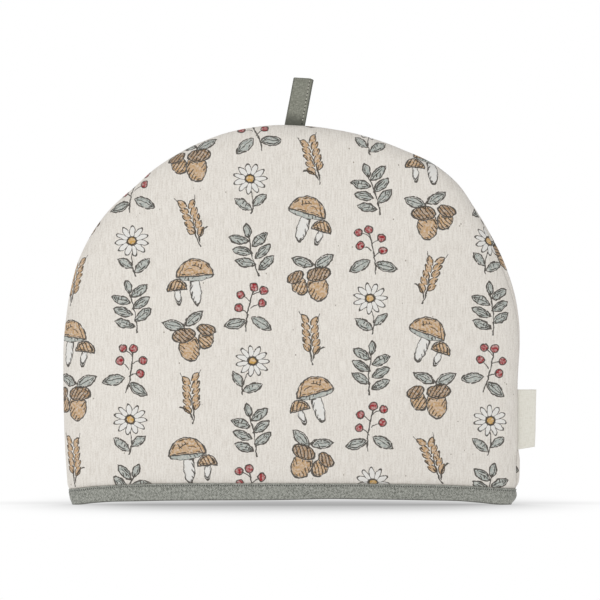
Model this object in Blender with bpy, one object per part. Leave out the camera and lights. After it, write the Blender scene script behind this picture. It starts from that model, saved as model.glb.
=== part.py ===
"""Tea cosy: two padded dome panels seamed round the top and sides, a bound hem,
a hanging loop in the top seam and a label tape in the right side seam.

The model is in metres with +Z up, and the front panel faces -Y. Sizes below are in
millimetres and are turned into metres where the points are placed. X is measured from
the middle of the dome, Z from the surface that the hem stands on.
"""
import math
from collections import namedtuple

import bmesh
import bpy
import numpy as np
from mathutils import Vector

MM = 0.001

# Dome seen from the front
HALF_WIDTH = 175.0      # middle of the dome to a side, where the sides are widest
SHOULDER_START = 118.0  # height at which the straight sides turn into the dome
DOME_RISE = 174.0       # from there up to the top seam
DOME_X = -6.4           # the origin is centred under the dome and its label together
CORNER_ANGLE = 135.0    # where a panel's left side ends and its top begins

# Padding, and how the cosy stands open
HEM_SPREAD = 46.0       # half the hollow's depth in the middle of the hem
SPREAD_POWER = 0.9      # how the hollow closes toward the seams
WALL = 9.0              # padded cloth
HEM_WALL = 3.6          # padded cloth where the binding squeezes it
HEM_SQUEEZE = 2.5       # how far the binding draws the outer face in
SQUEEZE_FADE = 12.0     # height over which the cloth swells out again above the binding
EDGE_PUFF = 0.7         # the padded edge stands out this far past its seam
CLEARANCE = 0.3         # between any two pieces

# Binding
BINDING = 1.0           # binding cloth, folded under at its edges
CORNER_RADIUS = 5.0     # rounding of the hem where it meets a side seam
CORNER_LIFT = 2.2
SOLE_ROUND = 0.35       # how far the folded edge rises beside its flat sole
SOLE_EDGE = 0.7         # where it starts to rise, as a share of the way out

# Hanging loop
LOOP_WIDTH = 15.5
LOOP_TAPE = 1.2
LOOP_HEIGHT = 35.6      # above the top seam
LOOP_ROOT = 4.0         # caught in the seam
LOOP_CLOSED = 2.2       # its legs lie together up to this height above the seam
LOOP_LEAN = 11.5        # degrees to the right
LOOP_X = 1.5
LOOP_ROUND = 4.8        # half the distance between the legs where they stand furthest apart
LOOP_STEPS = 26
TEAR_PEAK = 0.77        # the widest value of sin(t) sin(t / 2), the teardrop of its side view

# Label
LABEL_TAPE = 1.0
LABEL_ROOT = 3.2
LABEL_TOP = 89.6
LABEL_BOTTOM = 43.4
LABEL_OUT = 14.6        # how far it stands out of the seam at its top
LABEL_TAPER = 1.1       # it stands out this much less at its bottom
LABEL_RISE = 3.1        # its lower edge rises by this toward its fold
LABEL_CURL = 1.4        # its fold leans back
LABEL_STEPS = 4

# The seam stays open where it holds the loop and the label
HELD_BESIDE_LOOP = 12.5     # this far from the middle
HELD_BESIDE_LABEL = 2.5     # this far past the label's ends
SLOT_FADE = 9.0

# Colours and meshes
CLOTH = (0.73, 0.70, 0.64)
GREY_GREEN = (0.26, 0.27, 0.245)
CREAM = (0.75, 0.735, 0.65)
SIDE_STEPS = 19
TOP_STEPS = 24
WELD = 0.001

Swell = namedtuple("Swell", "angle out")
SWELLS = [              # outline of the dome against a true ellipse, right side to left side
    Swell(0, 0.3), Swell(10, 1.6), Swell(20, 1.9), Swell(32, 2.4), Swell(38, 3.8),
    Swell(46, 7.0), Swell(54, 6.0), Swell(62, 2.8), Swell(72, 0.9), Swell(84, 0.2),
    Swell(99, 1.2), Swell(118, 1.6), Swell(126, 1.8), Swell(133, 0.9), Swell(143, 3.5),
    Swell(155, 3.7), Swell(165, 1.4), Swell(173, 0.0), Swell(180, 0.3),
]

Side = namedtuple("Side", "height left right")
SIDES = [               # distance from the middle to each side below the dome
    Side(0, 166.6, 170.2), Side(12, 168.4, 171.0), Side(13.2, 168.6, 171.8),
    Side(17, 171.4, 174.2), Side(25, 172.9, 175.2), Side(34, 173.5, 175.6), Side(45, 174.0, 174.2),
    Side(60, 174.6, 173.8), Side(90, 175.2, 173.7), Side(118, 175.3, 175.3),
]

Seam = namedtuple("Seam", "height back_shows forward")
RIGHT_SEAM = [          # the right seam lies inside the outline and wanders to the front
    Seam(0, 0.0, 0.0), Seam(12, 0.6, 0.0), Seam(20, 2.2, 1.6), Seam(33, 3.2, 3.6),
    Seam(45, 0.6, 2.4), Seam(60, 0.0, 1.6), Seam(110, 0.0, 1.4), Seam(125, 1.2, 2.4),
    Seam(156, 2.3, 3.8), Seam(187, 3.6, 4.6), Seam(212, 2.0, 3.4), Seam(235, 0.6, 1.4),
    Seam(262, 0.0, 0.0),
]

Hem = namedtuple("Hem", "x under over")
HEM = [                 # lower and upper edge of the binding: flat at both sides, arched between
    Hem(-180, 0.0, 13.0), Hem(-147, 0.0, 13.6), Hem(-125, 2.2, 14.4), Hem(-96, 3.6, 14.9),
    Hem(-5, 4.2, 15.4), Hem(30, 5.2, 15.4), Hem(62, 4.2, 15.1), Hem(105, 3.4, 14.3),
    Hem(130, 1.8, 13.5), Hem(147, 0.0, 12.4), Hem(180, 0.0, 11.6),
]

Edge = namedtuple("Edge", "inset rise wall puff")
EDGE = [                # the padded edge in section, from the seam inward
    Edge(0.0, 0.0, 4.0, 0.0), Edge(0.0, 2.6, 5.2, 1.0), Edge(0.9, 5.0, 5.8, 1.0),
    Edge(3.2, 7.2, 7.0, 0.7), Edge(7.2, 8.6, 8.4, 0.3), Edge(13.0, 9.0, 9.0, 0.0),
]
RINGS = len(EDGE) - 1

ABOVE_BINDING = (0.0, 3.0, 8.0, 14.4)   # rows of the cloth that follow the binding's upper edge
HEM_ROWS = len(ABOVE_BINDING) + 1
BOUND_ROWS = 2                          # rows that lie inside the binding
NOT_BOUND = -1
LAST_STATION = 2 * RINGS + TOP_STEPS    # places along one panel's lower edge, counted from its left

Panel = namedtuple("Panel", "name side shows")
FRONT = Panel("front_panel", -1, False)
BACK = Panel("back_panel", 1, True)


def read(rows, key, column, at):
    """Smooth curve through one column of a table, read at one place."""
    keys = [getattr(row, key) for row in rows]
    values = [getattr(row, column) for row in rows]
    at = min(max(at, keys[0]), keys[-1])
    k = min(max(int(np.searchsorted(keys, at)) - 1, 0), len(keys) - 2)
    rises = np.diff(values) / np.diff(keys)
    rises = [rises[0], *rises, rises[-1]]
    slopes = [(a + b) / 2 if a * b > 0 else 0.0 for a, b in zip(rises, rises[1:])]
    step = keys[k + 1] - keys[k]
    t = (at - keys[k]) / step
    start = (1 + 2 * t) * (1 - t) ** 2 * values[k] + t * (1 - t) ** 2 * step * slopes[k]
    end = t * t * (3 - 2 * t) * values[k + 1] - t * t * (1 - t) * step * slopes[k + 1]
    return start + end


def ease(t):
    """From 0 to 1 with a soft start and a soft end."""
    t = min(max(t, 0.0), 1.0)
    return t * t * (3 - 2 * t)


# The seam between the panels, seen from the front. A seam point is x, z and the
# direction that points out of the dome.

def hem_row(x, row):
    """Height of a row of cloth near the hem."""
    under = read(HEM, "x", "under", x)
    over = read(HEM, "x", "over", x)
    lowest = under + BINDING + CLEARANCE
    if row < BOUND_ROWS:
        return lowest + (over - lowest) * row / BOUND_ROWS
    return over + ABOVE_BINDING[row - BOUND_ROWS]


def side_point(height, right):
    if right:
        shows = read(RIGHT_SEAM, "height", "back_shows", height)
        return read(SIDES, "height", "right", height) - EDGE_PUFF - shows, height, 1.0, 0.0
    return EDGE_PUFF - read(SIDES, "height", "left", height), height, -1.0, 0.0


def dome_point(angle):
    turn = math.radians(angle)
    grow = 1 + (read(SWELLS, "angle", "out", angle) - EDGE_PUFF) / DOME_RISE
    x = HALF_WIDTH * math.cos(turn) * grow
    z = SHOULDER_START + DOME_RISE * math.sin(turn) * grow
    out = Vector((math.cos(turn) / HALF_WIDTH, math.sin(turn) / DOME_RISE)).normalized()
    shows = read(RIGHT_SEAM, "height", "back_shows", z) if x > 0 else 0.0
    return x - shows * out.x, z - shows * out.y, out.x, out.y


def side_line(right):
    """One side of the seam, from the hem up to the corner of the panel."""
    edge_x = HALF_WIDTH if right else -HALF_WIDTH
    heights = [hem_row(edge_x, row) for row in range(HEM_ROWS + 1)]
    points = [side_point(height, right) for height in heights]
    straight = SHOULDER_START - heights[-1]
    length = straight + HALF_WIDTH * math.radians(180.0 - CORNER_ANGLE)
    steps = SIDE_STEPS - HEM_ROWS
    for step in range(1, steps + 1):
        travelled = length * step / steps
        if travelled <= straight:
            points.append(side_point(heights[-1] + travelled, right))
        else:
            angle = math.degrees((travelled - straight) / HALF_WIDTH)
            points.append(dome_point(angle if right else 180.0 - angle))
    return points


def seam_line():
    """The whole seam, from the left end of the hem over the top to the right end."""
    step = (180.0 - 2 * CORNER_ANGLE) / TOP_STEPS
    top = [dome_point(CORNER_ANGLE + step * i) for i in range(1, TOP_STEPS)]
    return side_line(right=False) + top + side_line(right=True)[::-1]


SEAM_LINE = seam_line()
SEAM_STEPS = len(SEAM_LINE) - 1
SEAM_ANGLES = [math.atan2(z, x) for x, z, out_x, out_z in SEAM_LINE][::-1]
SEAM_RADII = [math.hypot(x, z) for x, z, out_x, out_z in SEAM_LINE][::-1]


def seam_forward(x, z):
    """How far in front of the middle plane the seam lies."""
    return read(RIGHT_SEAM, "height", "forward", z) if x > 0 else 0.0


def seam_gap(x, z):
    """Half the gap between the panels, wider where the loop and the label are caught."""
    held = 0.0
    if z > SHOULDER_START + DOME_RISE / 2:
        held = (LOOP_TAPE + CLEARANCE * 1.5) * (1 - ease((abs(x) - HELD_BESIDE_LOOP) / SLOT_FADE))
    elif x > 0:
        above = ease((z - LABEL_TOP - HELD_BESIDE_LABEL) / SLOT_FADE)
        below = ease((LABEL_BOTTOM - HELD_BESIDE_LABEL - z) / SLOT_FADE)
        held = (LABEL_TAPE / 2 + CLEARANCE) * (1 - above) * (1 - below)
    return max(held, CLEARANCE / 2)


# The panels

def edge_point(index, ring, panel):
    """A point of the padded edge, seen from the front."""
    x, z, out_x, out_z = SEAM_LINE[index]
    edge = EDGE[ring]
    puff = EDGE_PUFF
    if panel.shows and x > 0:
        puff += read(RIGHT_SEAM, "height", "back_shows", z)
    inward = edge.inset - puff * edge.puff
    return x - out_x * inward, z - out_z * inward


def inner_point(column, row, panel):
    """A point of the panel inside its padded edge: the four sides blended together."""
    across = column / TOP_STEPS
    up = (row / SIDE_STEPS) ** 2
    left = Vector(edge_point(row, RINGS, panel))
    right = Vector(edge_point(SEAM_STEPS - row, RINGS, panel))
    top = Vector(edge_point(SIDE_STEPS + column, RINGS, panel))
    top_left = Vector(edge_point(SIDE_STEPS, RINGS, panel))
    top_right = Vector(edge_point(SEAM_STEPS - SIDE_STEPS, RINGS, panel))
    hem_left = Vector(edge_point(0, RINGS, panel))
    hem_right = Vector(edge_point(SEAM_STEPS, RINGS, panel))
    hem = hem_left.lerp(hem_right, across)
    sides = left.lerp(right, across)
    ends = hem.lerp(top, up)
    corners = hem_left.lerp(hem_right, across).lerp(top_left.lerp(top_right, across), up)
    return tuple(sides + ends - corners)


def on_hem(x, z, row, inset):
    """Rows near the hem follow its line, and its corners are rounded."""
    if row > HEM_ROWS:
        return z
    corner = max(1 - inset / CORNER_RADIUS, 0.0) ** 2
    above = max(1 - row / BOUND_ROWS, 0.0)
    return hem_row(x, row) + CORNER_LIFT * corner * above


def squeeze(x, z):
    """1 inside the binding, fading to 0 where the cloth has swollen out above it."""
    return 1 - ease((z - read(HEM, "x", "over", x)) / SQUEEZE_FADE)


def spread(x, z):
    """Half the depth of the hollow behind a point."""
    reach = float(np.interp(math.atan2(max(z, 0.0), x), SEAM_ANGLES, SEAM_RADII))
    share = min(math.hypot(x, z) / reach, 1.0)
    return HEM_SPREAD * (1 - share * share) ** SPREAD_POWER


def face_point(x, z, index, ring, panel):
    """A point of a panel's outer face, with the depth of the seam beside it and the wall behind it."""
    edge = EDGE[ring]
    tight = squeeze(x, z)
    face = spread(x, z) + WALL - HEM_SQUEEZE * tight
    seam = 0.0
    if ring < RINGS:
        seam_x, seam_z = SEAM_LINE[index][:2]
        seam = seam_gap(seam_x, seam_z) - panel.side * seam_forward(seam_x, seam_z)
    depth = seam + (face - seam) * edge.rise / WALL
    fullness = min(1 - (1 - edge.rise / WALL) * seam / face, 1.0)
    wall = edge.wall * fullness * (1 - (1 - HEM_WALL / WALL) * tight)
    return Vector((x, panel.side * depth, z)), seam, wall


def grid(bm, across, up, place):
    """A grid of points, each put in place by a function of its column and row."""
    made = bmesh.ops.create_grid(bm, x_segments=across, y_segments=up, size=0.5)
    for vert in made["verts"]:
        column = round((vert.co.x + 0.5) * across)
        row = round((vert.co.y + 0.5) * up)
        place(vert, column, row)


def close(bm):
    """Join coincident points and turn every face outward."""
    bmesh.ops.remove_doubles(bm, verts=bm.verts, dist=WELD)
    bmesh.ops.recalc_face_normals(bm, faces=bm.faces)


def thicken(bm, offset):
    """Turn a sheet into a closed solid. Its second face lies at an offset from each point."""
    bm.verts.index_update()
    number = bm.verts.layers.int.new("number")
    behind = []
    for vert in bm.verts:
        vert[number] = vert.index
        behind.append(vert.co + offset(vert))
    made = bmesh.ops.extrude_face_region(bm, geom=bm.faces)
    copies = [item for item in made["geom"] if isinstance(item, bmesh.types.BMVert)]
    for vert in copies:
        vert.co = behind[vert[number]]
    bmesh.ops.recalc_face_normals(bm, faces=bm.faces)
    return copies


def add_object(name, bm, colour, roughness, collection):
    mesh = bpy.data.meshes.new(name)
    bmesh.ops.scale(bm, vec=(MM, MM, MM), verts=bm.verts)
    bm.to_mesh(mesh)
    bm.free()
    mesh.shade_smooth()
    mesh.set_sharp_from_angle(angle=math.radians(50))
    material = bpy.data.materials.new(name)
    material.use_nodes = True
    shader = material.node_tree.nodes["Principled BSDF"]
    shader.inputs["Base Color"].default_value = (*colour, 1.0)
    shader.inputs["Roughness"].default_value = roughness
    shader.inputs["Metallic"].default_value = 0.0
    mesh.materials.append(material)
    thing = bpy.data.objects.new(name, mesh)
    thing.location.x = DOME_X * MM
    collection.objects.link(thing)
    return thing


def make_panel(panel, collection):
    """One padded panel. Returns the points of its lower edge, for the binding to follow."""
    bm = bmesh.new()
    wall = bm.verts.layers.float.new("wall")
    seam = bm.verts.layers.float.new("seam")
    station = bm.verts.layers.int.new("station")
    level = bm.verts.layers.int.new("level")

    def put(vert, flat, index, ring, row, along):
        x, z = flat
        z = on_hem(x, z, row, EDGE[ring].inset)
        vert.co, vert[seam], vert[wall] = face_point(x, z, index, ring, panel)
        vert[station] = along
        vert[level] = row if row <= BOUND_ROWS else NOT_BOUND

    def put_inside(vert, column, row):
        put(vert, inner_point(column, row, panel), None, RINGS, row, RINGS + column)

    def put_edge(vert, index, ring):
        row = min(index, SEAM_STEPS - index)
        along = ring if index < SEAM_STEPS / 2 else LAST_STATION - ring
        put(vert, edge_point(index, ring, panel), index, ring, row, along)

    def inward(vert):
        normal = vert.normal.copy()
        if vert[level] != NOT_BOUND:
            normal = bound_normals[vert[station]]
            normal.z = 0.0
        if vert[station] in (0, LAST_STATION):
            normal.y = 0.0
        behind = vert.co - normal.normalized() * vert[wall]
        behind.y = panel.side * max(panel.side * behind.y, vert[seam])
        return behind - vert.co

    grid(bm, TOP_STEPS, SIDE_STEPS, put_inside)
    grid(bm, SEAM_STEPS, RINGS, put_edge)
    close(bm)
    if bm.faces[0].normal.y * panel.side < 0:
        bmesh.ops.reverse_faces(bm, faces=bm.faces)
    bm.normal_update()
    bound_normals = {v[station]: v.normal.copy() for v in bm.verts if v[level] == 1}
    outer = {(v[station], v[level]): v.co.copy() for v in bm.verts if v[level] != NOT_BOUND}
    copies = thicken(bm, inward)
    inner = {(v[station], v[level]): v.co.copy() for v in copies if v[level] != NOT_BOUND}
    add_object(panel.name, bm, CLOTH, 0.9, collection)
    return outer, inner


# The binding, the loop and the label

def hem_loop(front, back):
    """Columns of points all the way round the hem: along the front, then along the back."""
    rows = range(BOUND_ROWS + 1)
    loop = [[front[i, row].copy() for row in rows] for i in range(LAST_STATION + 1)]
    for i in (0, LAST_STATION):
        loop[i] = [front[i, row].lerp(back[i, row], 0.5) for row in rows]
    return loop + [[back[i, row].copy() for row in rows] for i in range(LAST_STATION - 1, 0, -1)]


def outward(loop, i):
    """Level direction that points out of a loop at one of its columns."""
    along = loop[(i + 1) % len(loop)][1] - loop[i - 1][1]
    return Vector((along.y, -along.x, 0.0)).normalized()


def binding_section(outer, outer_way, inner, inner_way):
    """Closed section of the binding at one place along the hem."""
    near = CLEARANCE
    far = CLEARANCE + BINDING
    sole = outer[0].z - far
    outside = [outer[row] + outer_way * far for row in (2, 1, 0)]
    under = [outer[0] + outer_way * far * SOLE_EDGE, outer[0].copy()]
    under += [inner[0].copy(), inner[0] - inner_way * far * SOLE_EDGE]
    inside = [inner[row] - inner_way * far for row in (0, 1, 2)]
    inner_lining = [inner[row] - inner_way * near for row in (2, 1, 0)]
    outer_lining = [outer[row] + outer_way * near for row in (0, 1, 2)]
    for point, rise in zip(under, (SOLE_ROUND, 0.0, 0.0, SOLE_ROUND)):
        point.z = sole + rise
    inner_lining[-1].z = sole + BINDING
    outer_lining[0].z = sole + BINDING
    return outside + under + inside + inner_lining + outer_lining


def make_binding(front, back, collection):
    """The band round the hem, folded over the lower edge of both panels."""
    outer = hem_loop(front[0], back[0])
    inner = hem_loop(front[1], back[1])
    sections = []
    for i in range(len(outer)):
        sections.append(binding_section(outer[i], outward(outer, i), inner[i], outward(inner, i)))
    bm = bmesh.new()

    def put(vert, column, row):
        section = sections[column % len(sections)]
        vert.co = section[row % len(section)]

    grid(bm, len(sections), len(sections[0]), put)
    close(bm)
    add_object("hem_binding", bm, GREY_GREEN, 0.9, collection)


def make_loop(collection):
    """Tape folded double: its two ends lie together in the seam and it opens above them."""
    top_z = dome_point(90.0)[1]
    reach = LOOP_HEIGHT - LOOP_TAPE - LOOP_CLOSED
    path = [(-CLEARANCE / 2, -LOOP_ROOT)]
    for step in range(LOOP_STEPS + 1):
        turn = 2 * math.pi * step / LOOP_STEPS
        open_by = (LOOP_ROUND - LOOP_TAPE) * math.sin(turn) * math.sin(turn / 2) / TEAR_PEAK
        y = -open_by - CLEARANCE / 2 * math.cos(turn / 2)
        path.append((y, LOOP_CLOSED + reach * (1 - math.cos(turn)) / 2))
    path.append((CLEARANCE / 2, -LOOP_ROOT))
    bm = bmesh.new()

    def put(vert, column, row):
        vert.co = ((row / 2 - 0.5) * LOOP_WIDTH, *path[column])

    grid(bm, len(path) - 1, 2, put)
    bm.normal_update()
    thicken(bm, lambda vert: vert.normal * -LOOP_TAPE)
    loop = add_object("hanging_loop", bm, GREY_GREEN, 0.9, collection)
    loop.location = ((DOME_X + LOOP_X) * MM, 0.0, top_z * MM)
    loop.rotation_euler.y = math.radians(LOOP_LEAN)


def make_label(collection):
    """Tape folded double, its two layers pressed together and its ends caught in the seam."""
    bm = bmesh.new()

    def put(vert, column, row):
        out = column / LABEL_STEPS
        low = row / LABEL_STEPS
        z = LABEL_TOP + (LABEL_BOTTOM + LABEL_RISE * out - LABEL_TOP) * low
        seam_x = side_point(z, right=True)[0]
        x = seam_x - LABEL_ROOT + (LABEL_ROOT + LABEL_OUT - LABEL_TAPER * low) * out
        y = LABEL_CURL * out * out - seam_forward(seam_x, z) - LABEL_TAPE / 2
        vert.co = (x, y, z)

    grid(bm, LABEL_STEPS, LABEL_STEPS, put)
    thicken(bm, lambda vert: Vector((0.0, LABEL_TAPE, 0.0)))
    add_object("side_label", bm, CREAM, 0.8, collection)


def main():
    for thing in list(bpy.data.objects):
        bpy.data.objects.remove(thing, do_unlink=True)
    collection = bpy.data.collections.new("tea_cosy")
    bpy.context.scene.collection.children.link(collection)
    front = make_panel(FRONT, collection)
    back = make_panel(BACK, collection)
    make_binding(front, back, collection)
    make_loop(collection)
    make_label(collection)


main()
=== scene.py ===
"""Tea cosy of printed cotton, padded, with a bound hem, a hanging loop and a blank side label.

The camera, floor and lights are set out in metres. All else is in millimetres, measured from
the middle of the dome and from the floor. MM turns those lengths into metres, and SET_X
moves the points to their place beside the origin.
"""
import functools
import math

import bmesh
import bpy
import numpy as np
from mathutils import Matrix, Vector, noise


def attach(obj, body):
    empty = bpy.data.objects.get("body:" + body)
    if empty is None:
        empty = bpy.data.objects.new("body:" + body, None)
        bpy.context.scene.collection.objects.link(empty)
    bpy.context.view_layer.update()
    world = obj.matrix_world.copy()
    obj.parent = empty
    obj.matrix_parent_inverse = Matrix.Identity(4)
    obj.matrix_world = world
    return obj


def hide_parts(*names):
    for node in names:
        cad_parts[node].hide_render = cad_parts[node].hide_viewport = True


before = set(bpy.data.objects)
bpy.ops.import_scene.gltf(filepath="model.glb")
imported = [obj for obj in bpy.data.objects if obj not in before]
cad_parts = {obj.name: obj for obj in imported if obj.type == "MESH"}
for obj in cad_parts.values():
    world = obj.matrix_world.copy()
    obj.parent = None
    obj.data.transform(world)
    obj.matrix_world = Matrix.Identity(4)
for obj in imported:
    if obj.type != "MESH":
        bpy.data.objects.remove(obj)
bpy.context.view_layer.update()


# --- Camera, floor and studio lights -------------------------------------------------
# A long lens looks level at the middle of the cosy's front. The floor is white paper that
# glows rather than being lit, with its shadow painted into the glow: darker where the cosy hides
# the room from it, and a painted shadow spot behind the cosy. The set is not part of the cosy.

PICTURE_WIDTH = 0.4614      # what the picture takes in, at the plane of the side seams
CAMERA_PLACE = (0.0001, -9.0, 0.1573)
SENSOR_WIDTH = 36.0
FARTHEST_SEEN = 60.0
ROOM_SAMPLES = 32
FLOOR_SIZE = 12.0
FLOOR_SQUARES = 8
ROOM_REACH = 3.0            # what stands nearer than this hides the room from the floor
SHADOW_DEPTH = (            # how much of the room a spot on the floor sees, and how pale it is
    (0.0, 0.41), (0.45, 0.45), (0.60, 0.49), (0.75, 0.57), (0.88, 0.70), (0.93, 0.80),
    (0.96, 0.885), (0.98, 0.95), (0.992, 0.99), (0.997, 1.0))
SHADOW_OVAL = (0.255, 0.80)         # half its width and half its depth
SHADOW_FADE = 0.42                  # it starts to fade this far out
SHADOW_BEHIND_OVAL = (0.29, 0.24)          # a painted shadow spot behind the cosy
SHADOW_BEHIND_PLACE = 0.06
SHADOW_BEHIND_FADE = 0.1
SHADOW_BEHIND_PALE = 0.45
PAPER_GLOW = 0.6            # share of its shade that the paper leaves out where it lights the cloth
WHITE = (1.0, 1.0, 1.0)
ROOM_LIGHT = (0.64, 0.02)           # the white room, and its dim right end
DIM_END = (0.45, 0.9)               # how far to the right it starts to dim, and is dimmest
LAMPS_FACE = Vector((0.0, 0.0, 0.15))
SOFTBOXES = (                       # name, place, size, watts
    ("front_softbox", (-0.35, -2.8, 1.3), 1.8, 18.6),
    ("side_softbox", (1.2, -2.7, 1.0), 1.6, 5.8),
    ("back_softbox", (-1.3, 2.6, 1.3), 1.8, 13.0))


def into_scene(name, data):
    """A new object of the scene."""
    thing = bpy.data.objects.new(name, data)
    bpy.context.scene.collection.objects.link(thing)
    return thing


def tree_of(*values):
    """The node tree that these sockets belong to."""
    return next(value.id_data for value in values if isinstance(value, bpy.types.NodeSocket))


def feed(socket, value):
    """Give a socket a number, a place, a colour or another node's output."""
    if isinstance(value, bpy.types.NodeSocket):
        socket.id_data.links.new(value, socket)
    else:
        socket.default_value = (*value, 1.0) if socket.type == "RGBA" else value


def node(kind, *values, tree=None, **settings):
    """A shader node with its settings. Its first sockets get the values."""
    new = (tree or tree_of(*values)).nodes.new("ShaderNode" + kind)
    for name, setting in settings.items():
        setattr(new, name, setting)
    for socket, value in zip(new.inputs, values):
        feed(socket, value)
    return new


def number(operation, *values):
    """One step of arithmetic."""
    return node("Math", *values, operation=operation).outputs[0]


def arrow(operation, *values):
    """One step of arithmetic on a place or direction."""
    new = node("VectorMath", *values, operation=operation)
    return new.outputs["Value" if operation in ("LENGTH", "DISTANCE") else "Vector"]


def laid_over(share, lower, upper, way="MIX"):
    """Lay one colour over another."""
    new = node("Mix", tree=tree_of(share, lower, upper), data_type="RGBA", blend_type=way)
    for socket, value in ((0, share), (6, lower), (7, upper)):
        feed(new.inputs[socket], value)
    return new.outputs[2]


def between(value, low, high, new_low=0.0, new_high=1.0, change="LINEAR"):
    """Turn one range of numbers into another, and stop at its ends."""
    new = node("MapRange", value, low, high, new_low, new_high, interpolation_type=change)
    return new.outputs[0]


def way_out(place, oval):
    """0 in the middle of an oval on the floor, 1 on its edge."""
    return arrow("LENGTH", arrow("DIVIDE", place, (*oval, 1.0)))


lens = bpy.data.cameras.new("camera")
lens.sensor_width = SENSOR_WIDTH
lens.lens = SENSOR_WIDTH * -CAMERA_PLACE[1] / PICTURE_WIDTH
lens.clip_end = FARTHEST_SEEN
lens.dof.use_dof = False
camera = into_scene("camera", lens)
camera.location = CAMERA_PLACE
camera.rotation_euler = (math.radians(90.0), 0.0, 0.0)
bpy.context.scene.camera = camera
bpy.context.scene.view_settings.view_transform = "Standard"
bpy.context.scene.view_settings.look = "None"

paper = bpy.data.materials.new("floor_paper")
paper.use_nodes = True
paper.node_tree.nodes.clear()
open_room = node("AmbientOcclusion", WHITE, ROOM_REACH, tree=paper.node_tree, samples=ROOM_SAMPLES)
softened = node("ValToRGB", open_room.outputs["AO"])
while len(softened.color_ramp.elements) < len(SHADOW_DEPTH):
    softened.color_ramp.elements.new(0.5)
for stop, (seen, pale) in zip(softened.color_ramp.elements, SHADOW_DEPTH):
    stop.position = seen
    stop.color = (pale, pale, pale, 1.0)
on_floor = node("TexCoord", tree=paper.node_tree).outputs["Object"]
faded = between(way_out(on_floor, SHADOW_OVAL), SHADOW_FADE, 1.0, change="SMOOTHSTEP")
shade = laid_over(faded, softened.outputs[0], WHITE)
# Painted shadow: a darker spot behind the cosy, laid over the floor's painted shade.
behind = way_out(arrow("SUBTRACT", on_floor, (0.0, SHADOW_BEHIND_PLACE, 0.0)), SHADOW_BEHIND_OVAL)
behind = between(behind, SHADOW_BEHIND_FADE, 1.0, SHADOW_BEHIND_PALE, 1.0, "SMOOTHSTEP")
shade = laid_over(1.0, shade, behind, "DARKEN")
looked_at = node("LightPath", tree=paper.node_tree).outputs["Is Camera Ray"]
shade = laid_over(between(looked_at, 0.0, 1.0, PAPER_GLOW, 0.0), shade, WHITE)
node("OutputMaterial", node("Emission", shade).outputs[0])

floor_sheet = bmesh.new()
bmesh.ops.create_grid(floor_sheet, x_segments=FLOOR_SQUARES, y_segments=FLOOR_SQUARES,
                      size=FLOOR_SIZE / 2)
floor_mesh = bpy.data.meshes.new("floor")
floor_sheet.to_mesh(floor_mesh)
floor_sheet.free()
floor_mesh.materials.append(paper)
floor = into_scene("floor", floor_mesh)

world = bpy.data.worlds.new("white_room")
world.use_nodes = True
bpy.context.scene.world = world
room = world.node_tree
room_glow = room.nodes["Background"]
feed(room_glow.inputs["Color"], WHITE)
sideways = node("SeparateXYZ", node("TexCoord", tree=room).outputs["Generated"]).outputs[0]
feed(room_glow.inputs["Strength"], between(sideways, *DIM_END, *ROOM_LIGHT))
white_wall = node("Background", WHITE, 1.0, tree=room)
seen_directly = node("LightPath", tree=room).outputs["Is Camera Ray"]
room_mix = node("MixShader", seen_directly, room_glow.outputs[0], white_wall.outputs[0])
feed(room.nodes["World Output"].inputs["Surface"], room_mix.outputs[0])

for name, place, size, watts in SOFTBOXES:
    lamp = bpy.data.lights.new(name, "AREA")
    lamp.shape = "SQUARE"
    lamp.size = size
    lamp.energy = watts
    stand = into_scene(name, lamp)
    stand.location = place
    stand.rotation_mode = "QUATERNION"
    stand.rotation_quaternion = (LAMPS_FACE - Vector(place)).to_track_quat("-Z", "Y")


# --- Padded panels -------------------------------------------------------------------
# Front and back are two domes of printed cotton with wadding behind, seamed round the
# top and sides and turned through, so the padded edges roll into the seam. The hem
# draws the cloth in, and it swells out again above.

MM = 0.001
SET_X = -6.4
CURVE_STEPS = 1200
HALF_WIDTH = 175.0
SHOULDER_START = 118.0
DOME_RISE = 174.0
CORNER_ANGLE = 135.0
HEM_SPREAD = 46.0           # half the depth of the hollow, in the middle of the hem
SPREAD_POWER = 0.9
WALL = 9.0
HEM_WALL = 3.6
HEM_SQUEEZE = 2.5
SQUEEZE_FADE = 12.0
EDGE_PUFF = 0.7
BINDING_CLOTH = 1.3
SEAM_GAP = 0.12
BOUND_ROWS = 4              # rows of cloth inside the binding
NEAR_ROWS = 20              # close above it
SIDE_ROWS = 90              # and up the rest of the side
ROWS = BOUND_ROWS + NEAR_ROWS + SIDE_ROWS
NEAR_STEP = 1.3
COLUMNS = 180
CROWN_LATE = 1.6            # how late the rows take on the dome's curve
ARCH_FADE = 95.0
CREASE_BEND = 0.012
TROUGH = (0.55, 2.1, 1.3)   # beside each ridge: share of its height, place and width
HILLS = ((0.55, 62.0, 0.0), (0.22, 21.0, 9.0))      # height, size and seed of the filling's hills
HEM_PUCKER = (0.42, 8.0, 3.0)
HEM_PUCKER_FADE = 9.0
HEM_PUCKER_LONG = 0.35
SEAM_PUCKER = (0.20, 7.0, 5.0)
SEAM_PUCKER_EARLY = 0.45
HELD_FLAT = 0.5             # above the binding the cloth stays flat for this far
FREE_BY = 3.0
CREASED_BY = 5.0
FIRST_BOUND_RING = 3        # the rings before this one lie inside the seam, and aren't bound


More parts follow.
